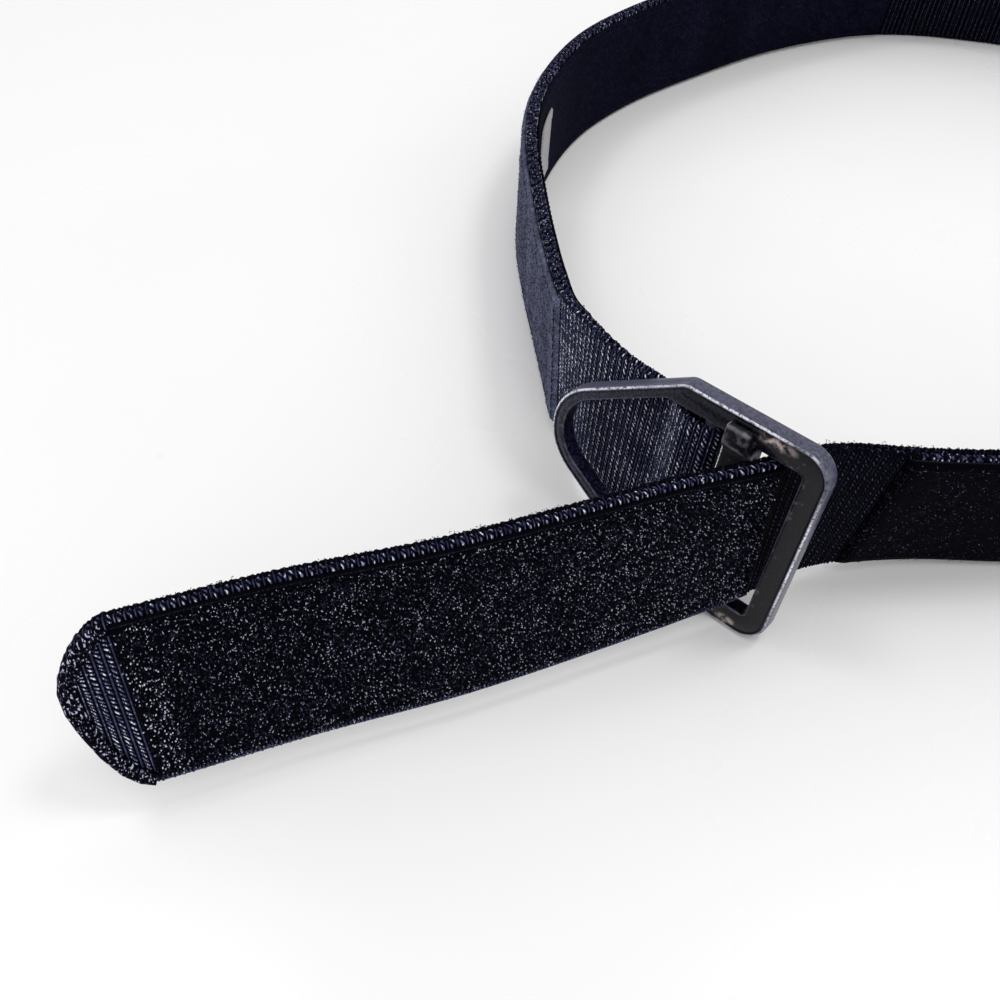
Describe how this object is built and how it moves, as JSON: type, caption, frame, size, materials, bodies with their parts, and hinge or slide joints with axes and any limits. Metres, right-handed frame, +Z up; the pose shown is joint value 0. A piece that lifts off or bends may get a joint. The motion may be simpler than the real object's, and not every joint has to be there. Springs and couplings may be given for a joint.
{
  "type": "webbing belt",
  "caption": "Wide doubled webbing belt standing in an oval loop, threaded through a steel V-ring friction buckle, with a pointed free end faced with hook tape.",
  "frame": {"origin": "on the surface that the belt stands on, below the middle of its box", "axes": "+Z up along the width of the belt, +X along the loop from the buckle side to the plain side, +Y from the buckle to the back of the loop"},
  "size_m": [0.4527, 0.4047, 0.0614],
  "materials": {
    "webbing": "ribbed nylon webbing",
    "pile": "fuzzy loop tape",
    "lining": "smooth velvety tape",
    "hook": "hook tape",
    "label": "satin label",
    "paint": "satin black paint on steel"
  },
  "bodies": {
    "root": {"webbing": "webbing", "pile_tape": "pile", "lining_tape": "lining", "hook_tape": "hook", "tip_binding": "hook", "label": "label", "buckle_frame": "paint", "sliding_bar": "paint"}
  },
  "joints": []
}
